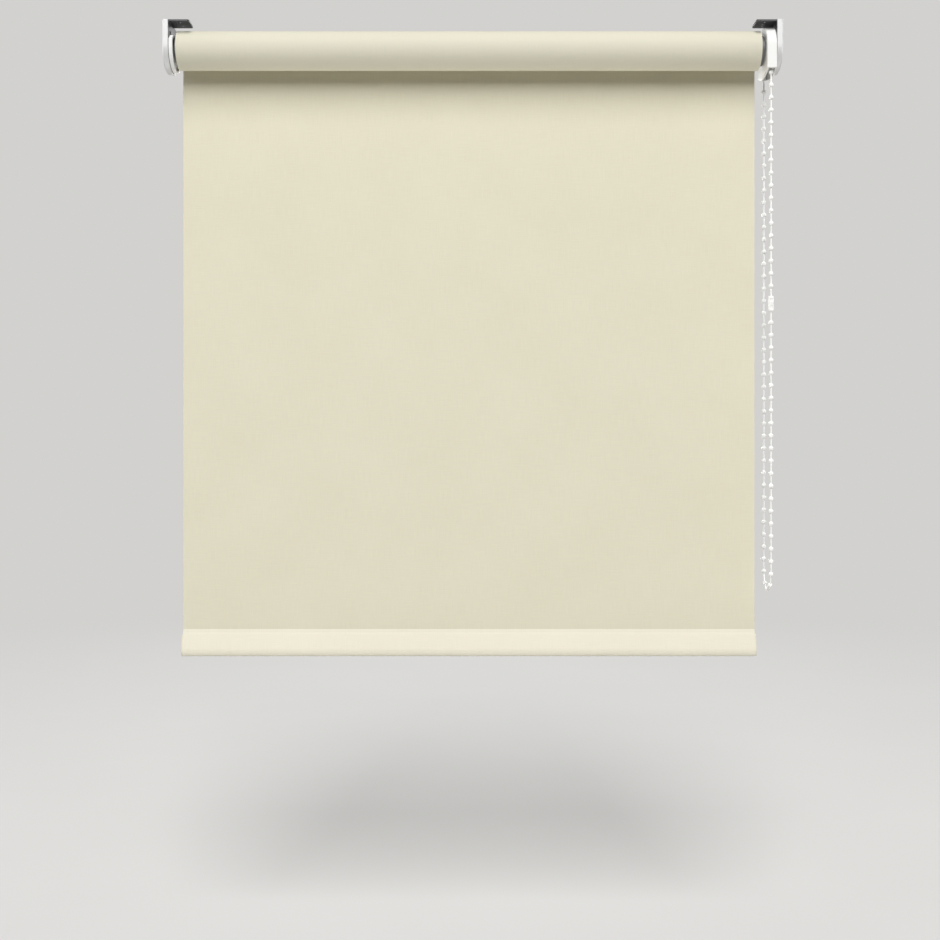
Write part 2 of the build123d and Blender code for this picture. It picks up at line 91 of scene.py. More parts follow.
# The loop from the lower end of the connector round the bottom, up the back and over the sprocket
CHAIN_X = 0.28505
FRONT_Y = -0.00578
BACK_Y = 0.02558
CORD_ROUTE = [
    (CHAIN_X, FRONT_Y, -0.2773),
    (CHAIN_X, FRONT_Y, -0.5215),
    (CHAIN_X, FRONT_Y, -0.5345),
    (CHAIN_X, 0.0034, -0.5437),
    (CHAIN_X, 0.0164, -0.5437),
    (CHAIN_X, BACK_Y, -0.5345),
    (CHAIN_X, BACK_Y, -0.5215),
    (CHAIN_X, BACK_Y, -0.0305),
    (CHAIN_X, BACK_Y, -0.0175),
    (CHAIN_X, 0.0164, -0.0083),
    (CHAIN_X, 0.0034, -0.0083),
    (CHAIN_X, FRONT_Y, -0.0175),
    (CHAIN_X, FRONT_Y, -0.0305),
    (CHAIN_X, FRONT_Y, -0.2627),
]

# Places read from the frame
drop_low, drop_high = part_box("fabric_drop")
hem_low, hem_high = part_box("fabric_hem")
tube_low, tube_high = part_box("roller_tube")
cloth_left, cloth_right = drop_low[0], drop_high[0]
axis_y = (tube_low[1] + tube_high[1]) / 2
axis_z = (tube_low[2] + tube_high[2]) / 2
tube_radius = (tube_high[2] - tube_low[2]) / 2
roll_radius = tube_radius + CLOTH_TURNS * CLOTH_THICKNESS
sheet_y = (drop_low[1] + drop_high[1]) / 2
hem_top = drop_low[2]
hem_bottom = hem_low[2]


# Materials

# The Mix node's sockets for its two colours and its result
MIX_FIRST, MIX_SECOND, MIX_RESULT = 6, 7, 2

# Cloth: slubs along the threads and clouds of colour are its tone; hollows between threads add painted
# shade
SLUBS_PER_METRE = 1800.0
SLUB_STRETCH = 0.03
CLOUDS_PER_METRE = 14.0
SLUB_SHADE, CLOUD_SHADE, HOLLOW_PAINTED_SHADE = 0.5, 0.175, 0.12
SLUB_HEIGHT = 1.2
SLUB_GLOSS = (-0.01, 0.05)
WEAVE_DEPTH = 0.05 * MM

# Metal and plastic: broad patches, rubbed edges and a fine grain, with the unevenness of the gloss
PATCHES_PER_METRE = 90.0
PATCH_SHADE = 0.15
RUB = 6.0
PATCH_GLOSS = (-0.04, 0.05)
GRAIN_GLOSS = (-0.02, 0.03)
GRAIN_DEPTH = 0.03 * MM


def linear(red, green, blue):
    """An 8-bit colour as the shader wants it."""
    shares = [value / 255 for value in (red, green, blue)]
    return tuple(s / 12.92 if s <= 0.04045 else ((s + 0.055) / 1.055) ** 2.4 for s in shares) + (1.0,)


def add(tree, kind, inputs=(), **settings):
    """Adds a node, with its settings and with its inputs set to values or linked to sockets."""
    made = tree.nodes.new(kind)
    for key, value in settings.items():
        setattr(made, key, value)
    for key, value in dict(inputs).items():
        if isinstance(value, bpy.types.NodeSocket):
            tree.links.new(value, made.inputs[key])
        else:
            made.inputs[key].default_value = value
    return made


def maths(tree, operation, *values):
    """The result of one calculation on values or sockets."""
    return add(tree, "ShaderNodeMath", enumerate(values), operation=operation).outputs[0]


def grain(tree, place, scale, detail=3.0, stretch=(1.0, 1.0, 1.0)):
    """Noise from 0 to 1 with lumps about 1/scale metres wide, longer along an axis with a small stretch."""
    moved = add(tree, "ShaderNodeMapping", {"Vector": place, "Scale": stretch}).outputs[0]
    lumps = add(tree, "ShaderNodeTexNoise", {"Vector": moved, "Scale": scale, "Detail": detail})
    return lumps.outputs["Fac"]


def between(tree, value, low, high):
    """Noise, which stays near 0.5, spread over the range from low to high."""
    spread = add(
        tree,
        "ShaderNodeMapRange",
        {"Value": value, "From Min": 0.3, "From Max": 0.7, "To Min": low, "To Max": high},
    )
    return spread.outputs["Result"]


def tinted(tree, share, first, second):
    """A colour mixed from two by a share. Each of the two is a colour or a socket."""
    inputs = {"Factor": share, MIX_FIRST: first, MIX_SECOND: second}
    return add(tree, "ShaderNodeMix", inputs, data_type="RGBA").outputs[MIX_RESULT]


def seen_directly(tree):
    """1 for what the camera sees, also in a gloss or through something clear, and 0 for other light."""
    path = add(tree, "ShaderNodeLightPath").outputs
    mirrored = maths(tree, "MAXIMUM", path["Is Glossy Ray"], path["Is Transmission Ray"])
    return maths(tree, "MAXIMUM", path["Is Camera Ray"], mirrored)


def new_material(name, inputs):
    """A material with its node tree and its shader, whose inputs are set."""
    made = bpy.data.materials.new(name)
    made.use_nodes = True
    tree = made.node_tree
    shader = tree.nodes["Principled BSDF"]
    for key, value in inputs.items():
        shader.inputs[key].default_value = value
    return made, tree, shader


def cloth_material(name, colour, darker_thread_and_shade, relief, inputs, on_roll=False):
    """Plain-woven cloth. On the roll the threads follow the UV map, and elsewhere the sheet's own plane."""
    made, tree, shader = new_material(name, inputs)
    if on_roll:
        place = add(tree, "ShaderNodeUVMap", uv_map="cloth").outputs["UV"]
        across, along, _ = add(tree, "ShaderNodeSeparateXYZ", {0: place}).outputs
    else:
        place = add(tree, "ShaderNodeTexCoord").outputs["Object"]
        across, _, along = add(tree, "ShaderNodeSeparateXYZ", {0: place}).outputs
    flat = add(tree, "ShaderNodeCombineXYZ", {0: across, 1: along}).outputs[0]
    warp = maths(tree, "SINE", maths(tree, "MULTIPLY", across, pi / THREAD_PITCH))
    weft = maths(tree, "SINE", maths(tree, "MULTIPLY", along, pi / THREAD_PITCH))
    over = maths(tree, "MULTIPLY", warp, weft)
    under = maths(tree, "SUBTRACT", 1.0, over)
    warp_height = maths(tree, "MULTIPLY", maths(tree, "ABSOLUTE", warp), maths(tree, "ADD", 1.0, over))
    weft_height = maths(tree, "MULTIPLY", maths(tree, "ABSOLUTE", weft), under)
    weave = maths(tree, "MULTIPLY", maths(tree, "MAXIMUM", warp_height, weft_height), 0.5)
    slub_warp = grain(tree, flat, SLUBS_PER_METRE, detail=2.0, stretch=(1.0, SLUB_STRETCH, 1.0))
    slub_weft = grain(tree, flat, SLUBS_PER_METRE, detail=2.0, stretch=(SLUB_STRETCH, 1.0, 1.0))
    slubs = maths(tree, "MULTIPLY", maths(tree, "ADD", slub_warp, slub_weft), 0.5)
    cloud = grain(tree, flat, CLOUDS_PER_METRE, detail=2.0)
    # Painted shade: the hollows between the threads are mixed towards the darker colour
    hollow = maths(tree, "SUBTRACT", 1.0, weave)
    shade = maths(tree, "MULTIPLY", slubs, SLUB_SHADE)
    shade = maths(tree, "MULTIPLY_ADD", cloud, CLOUD_SHADE, shade)
    shade = maths(tree, "MULTIPLY_ADD", hollow, HOLLOW_PAINTED_SHADE, shade)
    share = between(tree, shade, 0.0, 1.0)
    tree.links.new(tinted(tree, share, colour, darker_thread_and_shade), shader.inputs["Base Color"])
    gloss = between(tree, slubs, *SLUB_GLOSS)
    tree.links.new(maths(tree, "ADD", gloss, inputs["Roughness"]), shader.inputs["Roughness"])
    height = maths(tree, "MULTIPLY_ADD", slubs, SLUB_HEIGHT, weave)
    bump = add(tree, "ShaderNodeBump", {"Strength": relief, "Distance": WEAVE_DEPTH, "Height": height})
    tree.links.new(bump.outputs[0], shader.inputs["Normal"])
    return made


def rigid_material(
    name, colour, worn, inputs, *, grain_size, relief, stretch=(1.0, 1.0, 1.0), edge=0.25 * MM, wear=0.5
):
    """Metal or moulded plastic: softened edges with a little wear, a fine grain and uneven gloss."""
    made, tree, shader = new_material(name, inputs)
    place = add(tree, "ShaderNodeTexCoord").outputs["Object"]
    fine = grain(tree, place, 1.0 / grain_size, stretch=stretch)
    broad = grain(tree, place, PATCHES_PER_METRE)
    soft_edge = add(tree, "ShaderNodeBevel", {"Radius": edge}, samples=4).outputs[0]
    facing = add(tree, "ShaderNodeNewGeometry").outputs["Normal"]
    turn = add(tree, "ShaderNodeVectorMath", {0: soft_edge, 1: facing}, operation="DOT_PRODUCT")
    bent = maths(tree, "SUBTRACT", 1.0, turn.outputs["Value"])
    rub = maths(tree, "MULTIPLY", bent, maths(tree, "MULTIPLY", broad, RUB * wear))
    share = maths(tree, "ADD", between(tree, broad, 0.0, PATCH_SHADE), rub)
    share = add(tree, "ShaderNodeClamp", {"Value": share}).outputs[0]
    tree.links.new(tinted(tree, share, colour, worn), shader.inputs["Base Color"])
    gloss = maths(tree, "ADD", between(tree, broad, *PATCH_GLOSS), between(tree, fine, *GRAIN_GLOSS))
    tree.links.new(maths(tree, "ADD", gloss, inputs["Roughness"]), shader.inputs["Roughness"])
    bump = add(
        tree,
        "ShaderNodeBump",
        {"Strength": relief, "Distance": GRAIN_DEPTH, "Height": fine, "Normal": soft_edge},
    )
    tree.links.new(bump.outputs[0], shader.inputs["Normal"])
    return made


WEAVE_INPUTS = {
    "Roughness": 0.86,
    "Sheen Weight": 0.12,
    "Sheen Roughness": 0.45,
    "Specular IOR Level": 0.25,
}
WEAVE_RELIEF = 0.5
cloth_front = cloth_material(
    "cloth_room_side", linear(227, 222, 199), linear(214, 208, 184), WEAVE_RELIEF, WEAVE_INPUTS
)
# The hem's cloth is painted lighter than the sheet's, as painted light on its face tilted up towards the
# lamp
hem_cloth_painted_lit = cloth_material(
    "hem_cloth_painted_lighter", linear(238, 233, 214), linear(226, 221, 200), WEAVE_RELIEF, WEAVE_INPUTS
)
COAT_INPUTS = {
    "Roughness": 0.62,
    "Sheen Weight": 0.05,
    "Sheen Roughness": 0.5,
    "Specular IOR Level": 0.35,
}
COAT_COLOURS = (linear(218, 214, 195), linear(210, 206, 187))
COAT_RELIEF = 0.25
cloth_back = cloth_material("cloth_window_side", *COAT_COLOURS, COAT_RELIEF, COAT_INPUTS)
cloth_rolled = cloth_material("cloth_on_roll", *COAT_COLOURS, COAT_RELIEF, COAT_INPUTS, on_roll=True)
cloth_cut = rigid_material(
    "cloth_cut_edge",
    linear(236, 232, 218),
    linear(212, 205, 184),
    {"Roughness": 0.9, "Specular IOR Level": 0.2},
    grain_size=0.12 * MM,
    relief=0.6,
    edge=0.05 * MM,
)
bracket_steel = rigid_material(
    "dark_zinc_steel",
    linear(62, 62, 64),
    linear(120, 120, 122),
    {"Roughness": 0.46, "Metallic": 0.6},
    grain_size=0.35 * MM,
    relief=0.25,
    stretch=(1.0, 0.2, 1.0),
    wear=0.4,
)
silver_cover = rigid_material(
    "silver_lacquer",
    linear(208, 208, 208),
    linear(227, 227, 226),
    {"Roughness": 0.5, "Metallic": 0.2, "Specular IOR Level": 0.4},
    grain_size=0.22 * MM,
    relief=0.06,
    edge=0.4 * MM,
    wear=0.2,
)
white_plastic = rigid_material(
    "white_moulded_plastic",
    linear(241, 241, 239),
    linear(230, 229, 223),
    {"Roughness": 0.45, "Specular IOR Level": 0.3},
    grain_size=0.3 * MM,
    relief=0.1,
    edge=0.35 * MM,
    wear=0.1,
)
# The crown and the idle plug: grey plastic painted darker, as painted shade in the gaps at the roll's ends
dark_grey_plastic_and_gap_shade = rigid_material(
    "grey_plastic_painted_gap_shade",
    linear(88, 88, 90),
    linear(116, 116, 118),
    {"Roughness": 0.42},
    grain_size=0.3 * MM,
    relief=0.15,
    wear=0.3,
)
cream_plastic = rigid_material(
    "cream_moulded_plastic",
    linear(226, 220, 200),
    linear(213, 206, 184),
    {"Roughness": 0.5, "Specular IOR Level": 0.3},
    grain_size=0.3 * MM,
    relief=0.12,
    wear=0.1,
)
aluminium = rigid_material(
    "extruded_aluminium",
    linear(196, 198, 201),
    linear(222, 223, 225),
    {"Roughness": 0.32, "Metallic": 1.0},
    grain_size=0.2 * MM,
    relief=0.2,
    stretch=(0.01, 1.0, 1.0),
    wear=0.2,
)
spring_steel = rigid_material(
    "spring_steel",
    linear(150, 150, 153),
    linear(190, 190, 192),
    {"Roughness": 0.28, "Metallic": 1.0},
    grain_size=0.15 * MM,
    relief=0.15,
    edge=0.1 * MM,
    wear=0.2,
)
chain_white = rigid_material(
    "chain_plastic",
    linear(250, 250, 248),
    linear(240, 239, 234),
    {"Roughness": 0.3},
    grain_size=0.25 * MM,
    relief=0.08,
    edge=0.12 * MM,
    wear=0.1,
)

NODE_FINISHES = {
    "bracket_left": bracket_steel,
    "bracket_right": bracket_steel,
    "bracket_cover_left": silver_cover,
    "bracket_cover_right": silver_cover,
    "idle_cradle": white_plastic,
    "clutch_base": white_plastic,
    "chain_guard": white_plastic,
    "chain_sprocket": white_plastic,
    "tube_crown": dark_grey_plastic_and_gap_shade,
    "post_clip": spring_steel,
    "roller_tube": aluminium,
    "hem_bar": aluminium,
    "hem_cap_left": cream_plastic,
    "hem_cap_right": cream_plastic,
    "idle_plug": dark_grey_plastic_and_gap_shade,
    "idle_pin": spring_steel,
}
for node_name, material in NODE_FINISHES.items():
    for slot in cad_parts[node_name].material_slots:
        slot.material = material


# Meshes


def mesh_object(name, points, faces, materials, slots=None, crease=40.0):
    """An object with smooth faces, sharp where they meet at more than the crease's angle in degrees."""
    mesh = bpy.data.meshes.new(name)
    mesh.from_pydata([tuple(p) for p in points], [], faces)
    for material in materials:
        mesh.materials.append(material)
    if slots is not None:
        mesh.polygons.foreach_set("material_index", slots)
    mesh.polygons.foreach_set("use_smooth", [True] * len(faces))
    mesh.set_sharp_from_angle(angle=radians(crease))
    mesh.update()
    made = bpy.data.objects.new(name, mesh)
    bpy.context.scene.collection.objects.link(made)
    return made


def tube_faces(start, rings, sides):
    """The faces of a tube whose rings of points begin at start, with both its ends closed."""
    faces = []
    for ring in range(rings):
        for k in range(sides):
            a, b = start + ring * sides + k, start + ring * sides + (k + 1) % sides
            faces.append((a, b, b + sides, a + sides))
    last = start + rings * sides
    faces.append(tuple(start + k for k in reversed(range(sides))))
    faces.append(tuple(last + k for k in range(sides)))
    return faces


# Cloth wound on the tube: one ribbon in a true spiral, with slightly uneven turns at its two ends. Its
# outer end thins out, because the hanging cloth carries on from there.

TURN_STEPS = 72
TURN_GAP = 0.03 * MM
EDGE_STRAY = 0.16 * MM
STRAYS_PER_TURN = 0.9
LEFT_EDGE, RIGHT_EDGE = 3.1, 8.7
END_TAPER = 0.14
END_THINNEST = 0.03


def wound_radius(turned):
    """Radius of the ribbon's outer face after some turns from its outer end, counted inwards."""
    return roll_radius - turned * CLOTH_THICKNESS


def smooth(share):
    """A share kept between 0 and 1, with an even start and end."""
    share = min(1.0, max(0.0, share))
    return share * share * (3 - 2 * share)


def build_roll():
    """Four points a step: the ribbon's outer and inner face at its left and right end."""
    steps = CLOTH_TURNS * TURN_STEPS
    points, lengths = [], [0.0]
    for step in range(steps + 1):
        turned = step / TURN_STEPS
        angle = 2 * pi * turned
        inner = wound_radius(turned) - CLOTH_THICKNESS + TURN_GAP
        outer = inner + (CLOTH_THICKNESS - TURN_GAP) * max(END_THINNEST, smooth(turned / END_TAPER))
        stray_left = EDGE_STRAY * noise(Vector((turned * STRAYS_PER_TURN, LEFT_EDGE, 0.0)))
        stray_right = EDGE_STRAY * noise(Vector((turned * STRAYS_PER_TURN, RIGHT_EDGE, 0.0)))
        for radius in (outer, inner):
            y, z = axis_y + radius * cos(angle), axis_z + radius * sin(angle)
            points.append((cloth_left + stray_left, y, z))
            points.append((cloth_right + stray_right, y, z))
        lengths.append(lengths[-1] + 2 * pi * outer / TURN_STEPS)
    faces, slots = [], []
    for step in range(steps):
        a, b = 4 * step, 4 * step + 4
        faces += [(a, b, b + 1, a + 1), (a + 2, a + 3, b + 3, b + 2)]
        faces += [(a, a + 2, b + 2, b), (a + 1, b + 1, b + 3, a + 3)]
        slots += [0, 0, 1, 1]
    last = 4 * steps
    faces += [(0, 1, 3, 2), (last, last + 2, last + 3, last + 1)]
    slots += [1, 1]
    roll = mesh_object("wound_cloth", points, faces, [cloth_rolled, cloth_cut], slots)
    layer = roll.data.uv_layers.new(name="cloth")
    for loop in roll.data.loops:
        step = loop.vertex_index // 4
        layer.data[loop.index].uv = (points[loop.vertex_index][0], lengths[step])
    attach(roll, "roller")
    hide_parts("fabric_roll")
    return roll


# Hanging cloth: it lies on the back of the roll and hangs down to the hem, its side edges slightly curled.
# The spiral stays 0.059 mm inside the roll's radius all round, so the cloth may lie a little inside it too.

LAP_ANGLE = radians(48.0)
LAP_ROWS = 12
LAP_INSET = 0.035 * MM
LAP_START = 0.03
EDGE_CURL = 0.35 * MM
CURL_WIDTH = 14.0 * MM
WAVE_DEPTH = 0.12 * MM
WAVES_ACROSS, WAVES_DOWN = 9.0, 5.0
CURL_START_LENGTH = 50.0 * MM
CURL_END_LENGTH = 40.0 * MM
LEAVE_LENGTH = 8.0 * MM
FRONT_SHIFT_LENGTH = 16.0 * MM


def sheet_row(row):
    """The room-side and window-side points (y, z) of one row of the sheet, counted down from the roll."""
    lap_inside = roll_radius - LAP_INSET
    front_y, back_y = drop_low[1] - axis_y, drop_high[1] - axis_y
    if row < LAP_ROWS:
        share = row / LAP_ROWS
        angle = LAP_ANGLE * (1 - share)
        outer = lap_inside + (back_y - lap_inside) * (LAP_START + (1 - LAP_START) * smooth(share))
        return [(axis_y + r * cos(angle), axis_z + r * sin(angle)) for r in (lap_inside, outer)]
    share = (row - LAP_ROWS) / SHEET_ROWS
    z = axis_z + (hem_top - axis_z) * share
    inside = lap_inside + (front_y - lap_inside) * smooth((axis_z - z) / LEAVE_LENGTH)
    shift = (back_y - front_y) / 2 * smooth(1 - (z - hem_top) / FRONT_SHIFT_LENGTH)
    return [(axis_y + inside - shift, z), (axis_y + back_y - shift, z)]


def build_sheet():
    """The room side's grid of points, then the window side's, closed along the four edges."""
    rows = LAP_ROWS + SHEET_ROWS + 1
    columns = SHEET_COLUMNS + 1
    points = []
    for side in (0, 1):
        for row in range(rows):
            y, z = sheet_row(row)[side]
            hang = smooth((axis_z - z) / CURL_START_LENGTH) * smooth((z - hem_top) / CURL_END_LENGTH)
            for column in range(columns):
                x = cloth_left + (cloth_right - cloth_left) * 0.5 * (1 - cos(pi * column / SHEET_COLUMNS))
                from_edge = min(x - cloth_left, cloth_right - x)
                curl = EDGE_CURL * (1 - smooth(from_edge / CURL_WIDTH)) ** 2
                wave = WAVE_DEPTH * noise(Vector((x * WAVES_ACROSS, 0.0, z * WAVES_DOWN)))
                points.append((x, y + hang * (curl + wave), z))
    faces, slots = [], []
    window_side = rows * columns
    for row in range(rows - 1):
        for column in range(SHEET_COLUMNS):
            a = row * columns + column
            b = a + columns
            faces.append((a, b, b + 1, a + 1))
            faces.append((a + window_side, a + 1 + window_side, b + 1 + window_side, b + window_side))
            slots += [0, 1]
    for row in range(rows - 1):
        for edge in (0, SHEET_COLUMNS):
            a = row * columns + edge
            b = a + columns
            ring = (a, a + window_side, b + window_side, b)
            faces.append(ring if edge == 0 else ring[::-1])
            slots.append(2)
    for column in range(SHEET_COLUMNS):
        for row in (0, rows - 1):
            a = row * columns + column
            ring = (a, a + 1, a + 1 + window_side, a + window_side)
            faces.append(ring if row == 0 else ring[::-1])
            slots.append(2)
    sheet = mesh_object("blackout_sheet", points, faces, [cloth_front, cloth_back, cloth_cut], slots)
    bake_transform(sheet)
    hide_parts("fabric_drop")
    return sheet


# Hem pocket, drawn round its bar, with a welded seam and the raw edge of the turned-up cloth at the back

NOSE_STEPS = 9
SIDE_STEPS = 6
WELD_DEPTH = 0.1 * MM
WELD_HALF_WIDTH = 1.3 * MM
WELD_FLAT = 0.3 * MM
RAW_EDGE_DROP = 0.9 * MM
CUT_FACES = 4
PUCKER_DEPTH = 0.05 * MM
PUCKERS_PER_METRE = 60.0
PUCKER_PLACE = 5.0


def hem_curve(inset):
    """Half of the pocket's section from its nose up to the end of its belly, as (half width, height)."""
    points = []
    for step in range(NOSE_STEPS + 1):
        angle = HEM_NOSE_TURN * step / NOSE_STEPS
        reach = HEM_NOSE_RADIUS - inset
        points.append((reach * sin(angle), HEM_NOSE_RADIUS - reach * cos(angle)))
    offset = HEM_NOSE_RADIUS - HEM_SIDE_RADIUS
    centre = (offset * sin(HEM_NOSE_TURN), HEM_NOSE_RADIUS - offset * cos(HEM_NOSE_TURN))
    for step in range(1, SIDE_STEPS + 1):
        angle = HEM_NOSE_TURN + (pi / 2 + HEM_TAPER - HEM_NOSE_TURN) * step / SIDE_STEPS
        reach = HEM_SIDE_RADIUS - inset
        points.append((centre[0] + reach * sin(angle), centre[1] - reach * cos(angle)))
    return points


def flank_point(start, height):
    """The point at a height on the straight flank that goes on from start."""
    return (start[0] - (height - start[1]) * tan(HEM_TAPER), height)


def hem_outlines(height):
    """The outer and inner outlines of the pocket's section, as (offset towards the window, height)."""
    outer_half, inner_half = hem_curve(0.0), hem_curve(CLOTH_THICKNESS)
    belly, hollow = outer_half[-1], inner_half[-1]
    weld = height - HEM_SEAM / 2
    flank_heights = [height - HEM_SEAM]
    flank_heights += [weld + side for side in (-WELD_HALF_WIDTH, -WELD_FLAT, WELD_FLAT, WELD_HALF_WIDTH)]
    pressed = [0.0, 0.0, WELD_DEPTH, WELD_DEPTH, 0.0]
    flank = []
    for level, depth in zip(flank_heights, pressed):
        half, at = flank_point(belly, level)
        flank.append((half - depth, at))
    room = [(-half, at) for half, at in reversed(outer_half + flank + [(CLOTH_THICKNESS, height)])]
    window = outer_half[1:] + flank + [flank_point(belly, height - RAW_EDGE_DROP)]
    outer = room + window + [(0.0, height - RAW_EDGE_DROP), (0.0, height)]
    top = flank_point(hollow, height - HEM_SEAM)
    inner = [(-half, at) for half, at in reversed(inner_half + [top])] + inner_half[1:] + [top]
    return outer, inner


def build_hem():
    """The pocket's section drawn along the cloth's width, slightly puckered, with its two ends closed."""
    height = hem_high[2] - hem_low[2]
    outer, inner = hem_outlines(height)
    section = outer + inner
    belly_half = hem_curve(0.0)[-1][0]
    points = []
    for column in range(HEM_COLUMNS + 1):
        x = cloth_left + (cloth_right - cloth_left) * column / HEM_COLUMNS
        pucker = PUCKER_DEPTH * noise(Vector((x * PUCKERS_PER_METRE, PUCKER_PLACE, 0.0)))
        for half, at in section:
            swell = pucker * sin(pi * at / height)
            points.append((x, sheet_y + half * (1 + swell / belly_half), hem_bottom + at))
    faces, slots = [], []
    size = len(section)
    # The last faces round the section are the turned-up cloth's raw edge at the back and what is above it
    cut = len(outer) - CUT_FACES
    for column in range(HEM_COLUMNS):
        for ring, start in ((outer, 0), (inner, len(outer))):
            for i in range(len(ring)):
                a, b = column * size + start + i, column * size + start + (i + 1) % len(ring)
                quad = (a, b, b + size, a + size)
                faces.append(quad if start == 0 else quad[::-1])
                if start:
                    slots.append(1)
                elif i >= cut:
                    slots.append(2)
                else:
                    slots.append(0)
    loops = [[Vector((half, at, 0.0)) for half, at in ring] for ring in (outer, inner)]
    for column in (0, HEM_COLUMNS):
        for triangle in tessellate_polygon(loops):
            corner = [column * size + i for i in triangle]
            a, b, c = (section[i] for i in triangle)
            turn = (b[0] - a[0]) * (c[1] - a[1]) - (b[1] - a[1]) * (c[0] - a[0])
            if (turn < 0) == (column > 0):
                corner.reverse()
            faces.append(tuple(corner))
            slots.append(2)
    materials = [hem_cloth_painted_lit, cloth_back, cloth_cut]
    hem = mesh_object("hem_pocket", points, faces, materials, slots, crease=30.0)
    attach(hem, "hem")
    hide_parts("fabric_hem")
    return hem


# Chain: a cord with beads moulded on it, and the connector that closes the loop

BEAD_SIDES = 20
BEAD_RINGS = 11
BEAD_ROUNDNESS = 0.62
BEAD_NECK = 0.45 * CORD_DIAMETER
BEAD_TWIST = 0.35
TWIST_STEP, TWIST_PLACE = 0.7, 1.3
SEAM_HEIGHT = 0.05 * MM
CORD_STEP = 0.02 * MM
DIRECTION_STEPS = 20


def build_cord():
    """The cord's curve, and the points of its line from a copy without thickness."""
    curve = bpy.data.curves.new("chain_strand", "CURVE")
    curve.dimensions = "3D"
    spline = curve.splines.new("NURBS")
    spline.points.add(len(CORD_ROUTE) - 1)
    for point, place in zip(spline.points, CORD_ROUTE):
        point.co = (*place, 1.0)
    spline.order_u = 3
    spline.use_endpoint_u = True
    spline.resolution_u = 24
    made = bpy.data.objects.new("chain_strand", curve)
    bpy.context.scene.collection.objects.link(made)
    bare = bpy.data.meshes.new_from_object(made)
    line = np.array([v.co for v in bare.vertices], float)
    bpy.data.meshes.remove(bare)
    curve.bevel_depth = CORD_DIAMETER / 2
    curve.bevel_resolution = 3
    curve.materials.append(chain_white)
    return made, line


def bead_places(line):
    """Each bead's centre and direction: one pitch from the last in a straight line, along the cord."""
    along = np.concatenate([[0.0], np.cumsum(np.linalg.norm(np.diff(line, axis=0), axis=1))])
    fine = np.arange(0.0, along[-1], CORD_STEP)
    dense = np.stack([np.interp(fine, along, line[:, k]) for k in range(3)], axis=1)
    at = int(np.searchsorted(fine, FIRST_BEAD))
    places = []
    for _ in range(BEAD_COUNT):
        ahead = dense[min(at + DIRECTION_STEPS, len(dense) - 1)] - dense[max(at - DIRECTION_STEPS, 0)]
        places.append((dense[at], ahead / np.linalg.norm(ahead)))
        reach = np.linalg.norm(dense[at:] - dense[at], axis=1)
        at += int(np.argmax(reach >= BEAD_PITCH))
    return places


def bead_profile():
    """The bead's radius along the cord: a round barrel with flattened ends."""
    for ring in range(BEAD_RINGS + 1):
        angle = pi * (ring / BEAD_RINGS - 0.5)
        radius = BEAD_RADIUS * max(cos(angle), 0.0) ** BEAD_ROUNDNESS
        yield BEAD_HALF_HEIGHT * sin(angle), max(BEAD_NECK, radius)


def build_beads(line):
    """Round beads along the cord, each turned a little, with the mould's seam on two sides."""
    points, faces = [], []
    profile = list(bead_profile())
    for number, (centre, direction) in enumerate(bead_places(line)):
        forward = Vector(direction)
        side = Vector((1.0, 0.0, 0.0))
        other = forward.cross(side)
        twist = BEAD_TWIST * noise(Vector((number * TWIST_STEP, TWIST_PLACE, 0.0)))
        start = len(points)
        for t, radius in profile:
            for k in range(BEAD_SIDES):
                angle = 2 * pi * k / BEAD_SIDES + twist
                seam = SEAM_HEIGHT if k % (BEAD_SIDES // 2) == 0 and radius > CORD_DIAMETER / 2 else 0.0
                outward = side * cos(angle) + other * sin(angle)
                points.append(Vector(centre) + forward * t + outward * (radius + seam))
        faces += tube_faces(start, BEAD_RINGS, BEAD_SIDES)
    return mesh_object("moulded_beads", points, faces, [chain_white], crease=60.0)


CONNECTOR_SIDES = 32
MOUTH_RADIUS = 0.9 * MM
ROUND_OVER = 1.4 * MM
ROUND_STEPS = 6
SLOT_LOW, SLOT_HIGH = 2.1 * MM, 4.5 * MM
SLOT_SLOPE = 0.4 * MM
SLOT_DEPTH = 0.55 * MM
SLOT_HALF_ANGLE = radians(32.0)
WAIST_HALF_WIDTH = 0.55 * MM
WAIST_SLOPE = 0.15 * MM
WAIST_DEPTH = 0.35 * MM


def build_connector():
    """A split barrel: two cups back to back, each with a slot on two sides where a bead snaps in."""
    low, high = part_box("chain_connector")
    radius, half = (high[0] - low[0]) / 2, (high[2] - low[2]) / 2
    centre = (Vector(low) + Vector(high)) / 2
    profile = [(half, MOUTH_RADIUS)]
    for step in range(ROUND_STEPS + 1):
        angle = pi / 2 * step / ROUND_STEPS
        profile.append((half - ROUND_OVER * (1 - cos(angle)), radius - ROUND_OVER * (1 - sin(angle))))
    slot_rings = (SLOT_HIGH + SLOT_SLOPE, SLOT_HIGH, SLOT_LOW, SLOT_LOW - SLOT_SLOPE)
    profile += [(t, radius) for t in slot_rings]
    profile += [(WAIST_HALF_WIDTH, radius), (WAIST_HALF_WIDTH - WAIST_SLOPE, radius - WAIST_DEPTH)]
    profile += [(-t, r) for t, r in reversed(profile)]
    points = []
    for t, r in profile:
        for k in range(CONNECTOR_SIDES):
            angle = 2 * pi * k / CONNECTOR_SIDES
            in_slot = SLOT_LOW <= abs(t) <= SLOT_HIGH and abs(cos(angle)) > cos(SLOT_HALF_ANGLE)
            reach = r - SLOT_DEPTH if in_slot else r
            points.append(centre + Vector((reach * sin(angle), reach * cos(angle), t)))
    faces = tube_faces(0, len(profile) - 1, CONNECTOR_SIDES)
    return mesh_object("chain_coupler", points, faces, [chain_white], crease=35.0)


# Springs: coils of round wire with their end turns closed, in place of the plain ones

COIL_STEPS = 32
COIL_WIRE_SIDES = 10
BRAKE_WIRE = 1.2 * MM
BRAKE_TURNS = 5
PIN_WIRE = 0.7 * MM
PIN_TURNS = 6


